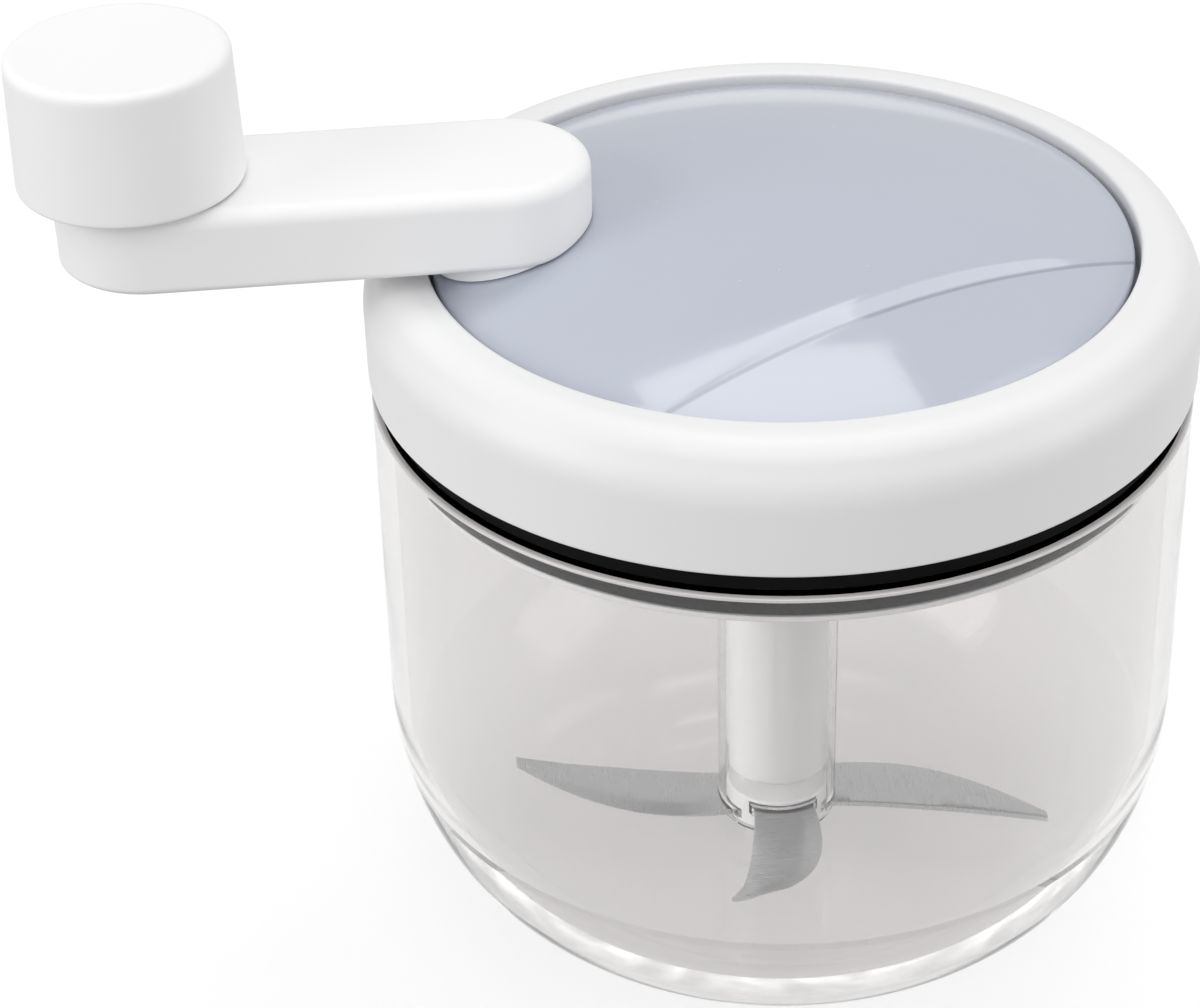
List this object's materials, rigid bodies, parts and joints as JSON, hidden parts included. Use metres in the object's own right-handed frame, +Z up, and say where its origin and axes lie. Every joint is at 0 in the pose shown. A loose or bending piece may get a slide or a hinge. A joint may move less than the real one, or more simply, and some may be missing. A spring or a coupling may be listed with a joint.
{
  "type": "manual food chopper",
  "caption": "Hand-cranked food chopper: clear round bowl, push-on lid with a domed disc turned by an arm and knob, geared blade unit inside.",
  "frame": {"origin": "centre of the bowl's flat foot, on the table, on the lid's axis", "axes": "+Z up along the lid's axis, -X along the crank arm at rest, +Y across the arm"},
  "size_m": [0.1247, 0.0902, 0.1085],
  "materials": {
    "clear_plastic": "clear, polished",
    "white_plastic": "white, semi-gloss moulded",
    "disc_plastic": "pale blue-grey, high gloss",
    "gear_plastic": "natural acetal, matt",
    "black_rubber": "black, soft matt",
    "blade_steel": "fine ground stainless steel",
    "pin_steel": "plain stainless steel",
    "brass": "turned brass"
  },
  "bodies": {
    "bowl": {"bowl": "clear_plastic", "pivot_pin": "pin_steel"},
    "blade_unit": {"blade_column": "clear_plastic", "blade_hub": "white_plastic", "lower_blade": "blade_steel", "upper_blade": "blade_steel"},
    "lid": {"seal_ring": "black_rubber", "lid_ring": "white_plastic", "lid_base": "white_plastic", "shaft_seal": "black_rubber", "gear_cover": "white_plastic", "gear_cover_screw_1": "pin_steel", "gear_cover_screw_2": "pin_steel", "gear_cover_screw_3": "pin_steel", "idler_axle_1": "pin_steel", "idler_axle_2": "pin_steel", "idler_axle_3": "pin_steel"},
    "idler_1": {"idler_gear_1": "gear_plastic"},
    "idler_2": {"idler_gear_2": "gear_plastic"},
    "idler_3": {"idler_gear_3": "gear_plastic"},
    "drive": {"drive_shaft": "white_plastic"},
    "crank": {"crank_disc": "disc_plastic", "ring_gear": "gear_plastic", "ring_gear_screw_1": "pin_steel", "ring_gear_screw_2": "pin_steel", "ring_gear_screw_3": "pin_steel", "crank_arm": "white_plastic", "arm_cover": "white_plastic", "arm_screw_1": "pin_steel", "arm_screw_2": "pin_steel", "knob_bush": "brass"},
    "knob": {"knob": "white_plastic", "knob_screw": "pin_steel", "knob_washer": "pin_steel"}
  },
  "joints": [
    {"name": "lid_lift", "type": "slide", "parent": "bowl", "child": "lid", "axis": [0, 0, 1], "range_m": [0, 0.07]},
    {"name": "crank_turn", "type": "hinge", "parent": "lid", "child": "crank", "pos_m": [0, 0, 0.08], "axis": [0, 0, 1], "continuous": true},
    {"name": "knob_spin", "type": "hinge", "parent": "crank", "child": "knob", "pos_m": [-0.0677, 0, 0.1], "axis": [0, 0, 1], "continuous": true},
    {"name": "idler_spin_1", "type": "hinge", "parent": "lid", "child": "idler_1", "pos_m": [0.018, 0, 0.075], "axis": [0, 0, 1], "continuous": true},
    {"name": "idler_spin_2", "type": "hinge", "parent": "lid", "child": "idler_2", "pos_m": [-0.009, 0.01559, 0.075], "axis": [0, 0, 1], "continuous": true},
    {"name": "idler_spin_3", "type": "hinge", "parent": "lid", "child": "idler_3", "pos_m": [-0.009, -0.01559, 0.075], "axis": [0, 0, 1], "continuous": true},
    {"name": "drive_spin", "type": "hinge", "parent": "lid", "child": "drive", "pos_m": [0, 0, 0.07], "axis": [0, 0, 1], "continuous": true},
    {"name": "blade_spin", "type": "hinge", "parent": "bowl", "child": "blade_unit", "pos_m": [0, 0, 0.008], "axis": [0, 0, 1], "continuous": true}
  ],
  "couplings": [
    {"joint": "idler_spin_1", "follows": "crank_turn", "ratio": 2.6667},
    {"joint": "idler_spin_2", "follows": "crank_turn", "ratio": 2.6667},
    {"joint": "idler_spin_3", "follows": "crank_turn", "ratio": 2.6667},
    {"joint": "drive_spin", "follows": "crank_turn", "ratio": -4},
    {"joint": "blade_spin", "follows": "crank_turn", "ratio": -4}
  ]
}
